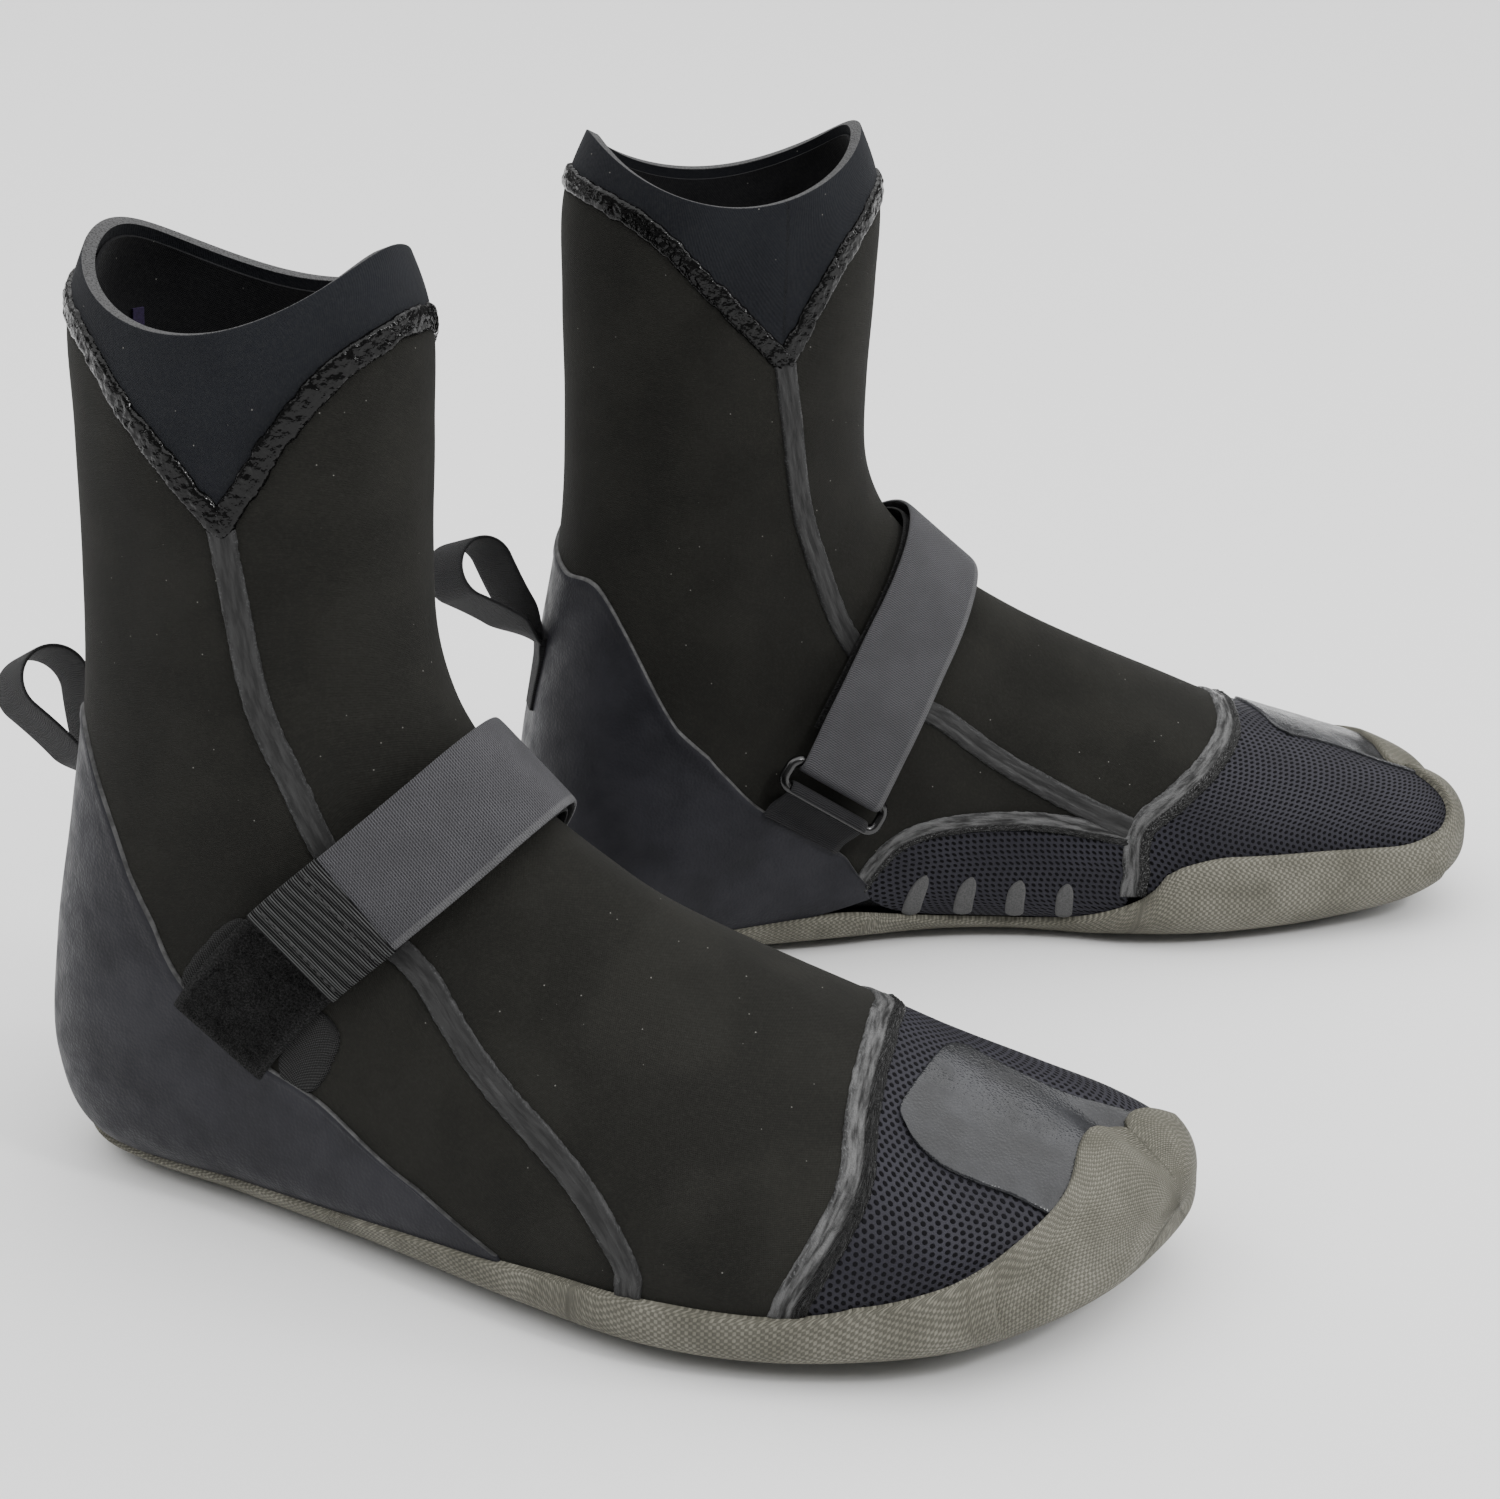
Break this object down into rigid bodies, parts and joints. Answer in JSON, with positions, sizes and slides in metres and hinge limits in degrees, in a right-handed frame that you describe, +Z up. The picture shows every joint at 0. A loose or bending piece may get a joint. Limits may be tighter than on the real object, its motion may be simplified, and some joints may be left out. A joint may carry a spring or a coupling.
{
  "type": "neoprene boots",
  "caption": "Pair of split-toe neoprene boots for surfing, calf-high, with an instep strap through a ring and a heel pull loop on each.",
  "frame": {"origin": "floor level under the middle of the pair's bounding box", "axes": "+X towards the toes, +Y towards the left boot, +Z up from the floor the soles stand on"},
  "size_m": [0.4291, 0.3502, 0.2481],
  "materials": {
    "sole_rubber": "matte, finely dotted",
    "counter_rubber": "satin skin rubber",
    "neoprene_jersey": "fine knitted nylon over neoprene",
    "collar_neoprene": "thin smooth knit, raw foam edge",
    "mesh_neoprene": "knitted mesh over neoprene",
    "overlay_rubber": "semi-gloss",
    "seam_glue": "glossy wrinkled bead",
    "seam_tape": "matte tape with ragged edges",
    "printed_ink": "matte raised print",
    "fleece_lining": "short fleece",
    "insole_foam": "felt over foam",
    "liner_tape": "thin woven tape",
    "loop_pile": "curly loop pile",
    "anchor_fabric": "fine knit with stitched edge",
    "strap_webbing": "fine twill webbing",
    "ring_plastic": "gloss",
    "grip_tab": "ribbed grosgrain",
    "hook_tape": "short stiff hooks",
    "loop_webbing": "satin flat webbing"
  },
  "bodies": {
    "right_boot": {"right_outsole": "sole_rubber", "right_heel_counter": "counter_rubber", "right_front_panel": "neoprene_jersey", "right_rear_panel": "neoprene_jersey", "right_collar": "collar_neoprene", "right_toe_box": "mesh_neoprene", "right_arch_panel": "mesh_neoprene", "right_bottom_sock": "neoprene_jersey", "right_toe_overlay": "overlay_rubber", "right_collar_seam": "seam_glue", "right_outer_seam_tape": "seam_tape", "right_inner_seam_tape": "seam_tape", "right_toe_seam": "seam_tape", "right_arch_seam": "seam_tape", "right_arch_marks": "printed_ink", "right_lining": "fleece_lining", "right_insole": "insole_foam", "right_toe_divider": "fleece_lining", "right_liner_tape": "liner_tape", "right_strap_base": "loop_pile", "right_strap_anchor_patch": "anchor_fabric", "right_keeper_tab": "strap_webbing", "right_loop_tail": "loop_webbing"},
    "right_ring": {"right_strap_ring": "ring_plastic"},
    "right_strap": {"right_strap_run": "strap_webbing"},
    "right_strap_tip": {"right_strap_end": "strap_webbing", "right_grip_tab": "grip_tab", "right_hook_patch": "hook_tape"},
    "right_pull_loop": {"right_pull_loop": "loop_webbing"},
    "left_boot": {"left_outsole": "sole_rubber", "left_heel_counter": "counter_rubber", "left_front_panel": "neoprene_jersey", "left_rear_panel": "neoprene_jersey", "left_collar": "collar_neoprene", "left_toe_box": "mesh_neoprene", "left_arch_panel": "mesh_neoprene", "left_bottom_sock": "neoprene_jersey", "left_toe_overlay": "overlay_rubber", "left_collar_seam": "seam_glue", "left_outer_seam_tape": "seam_tape", "left_inner_seam_tape": "seam_tape", "left_toe_seam": "seam_tape", "left_arch_seam": "seam_tape", "left_arch_marks": "printed_ink", "left_lining": "fleece_lining", "left_insole": "insole_foam", "left_toe_divider": "fleece_lining", "left_liner_tape": "liner_tape", "left_strap_base": "loop_pile", "left_strap_anchor_patch": "anchor_fabric", "left_keeper_tab": "strap_webbing", "left_loop_tail": "loop_webbing"},
    "left_ring": {"left_strap_ring": "ring_plastic"},
    "left_strap": {"left_strap_run": "strap_webbing"},
    "left_strap_tip": {"left_strap_end": "strap_webbing", "left_grip_tab": "grip_tab", "left_hook_patch": "hook_tape"},
    "left_pull_loop": {"left_pull_loop": "loop_webbing"}
  },
  "joints": [
    {"name": "left_boot_slide", "type": "slide", "parent": "right_boot", "child": "left_boot", "axis": [0, 1, 0], "range_m": [0, 0.25]},
    {"name": "right_ring_swivel", "type": "hinge", "parent": "right_boot", "child": "right_ring", "pos_m": [-0.09567, -0.02227, 0.05352], "axis": [-0.7569, 0.3335, 0.562], "range_deg": [0, 17]},
    {"name": "right_strap_open", "type": "hinge", "parent": "right_ring", "child": "right_strap", "pos_m": [-0.09169, -0.02561, 0.06087], "axis": [-0.7569, 0.3335, 0.562], "range_deg": [0, 51]},
    {"name": "right_strap_peel", "type": "hinge", "parent": "right_strap", "child": "right_strap_tip", "pos_m": [-0.0729, -0.08852, 0.1218], "axis": [-0.6522, 0.3218, 0.6864], "range_deg": [0, 85]},
    {"name": "right_loop_flex", "type": "hinge", "parent": "right_boot", "child": "right_pull_loop", "pos_m": [-0.18861, -0.03597, 0.09574], "axis": [0.4067, 0.9135, 0], "range_deg": [-45, 15], "stiffness_Nm_per_rad": 0.03},
    {"name": "left_ring_swivel", "type": "hinge", "parent": "left_boot", "child": "left_ring", "pos_m": [0.00717, 0.04552, 0.05352], "axis": [0.8097, 0.1689, -0.562], "range_deg": [0, 17]},
    {"name": "left_strap_open", "type": "hinge", "parent": "left_ring", "child": "left_strap", "pos_m": [0.01176, 0.04796, 0.06087], "axis": [0.8097, 0.1689, -0.562], "range_deg": [0, 51]},
    {"name": "left_strap_peel", "type": "hinge", "parent": "left_strap", "child": "left_strap_tip", "pos_m": [0.04321, 0.10558, 0.1218], "axis": [0.7048, 0.1792, -0.6864], "range_deg": [0, 85]},
    {"name": "left_loop_flex", "type": "hinge", "parent": "left_boot", "child": "left_pull_loop", "pos_m": [-0.08089, 0.07824, 0.09574], "axis": [-0.2079, 0.9781, 0], "range_deg": [-45, 15], "stiffness_Nm_per_rad": 0.03}
  ],
  "couplings": [
    {"joint": "right_strap_open", "follows": "right_strap_peel", "ratio": 0.6},
    {"joint": "right_ring_swivel", "follows": "right_strap_peel", "ratio": 0.2},
    {"joint": "left_strap_open", "follows": "left_strap_peel", "ratio": 0.6},
    {"joint": "left_ring_swivel", "follows": "left_strap_peel", "ratio": 0.2}
  ]
}
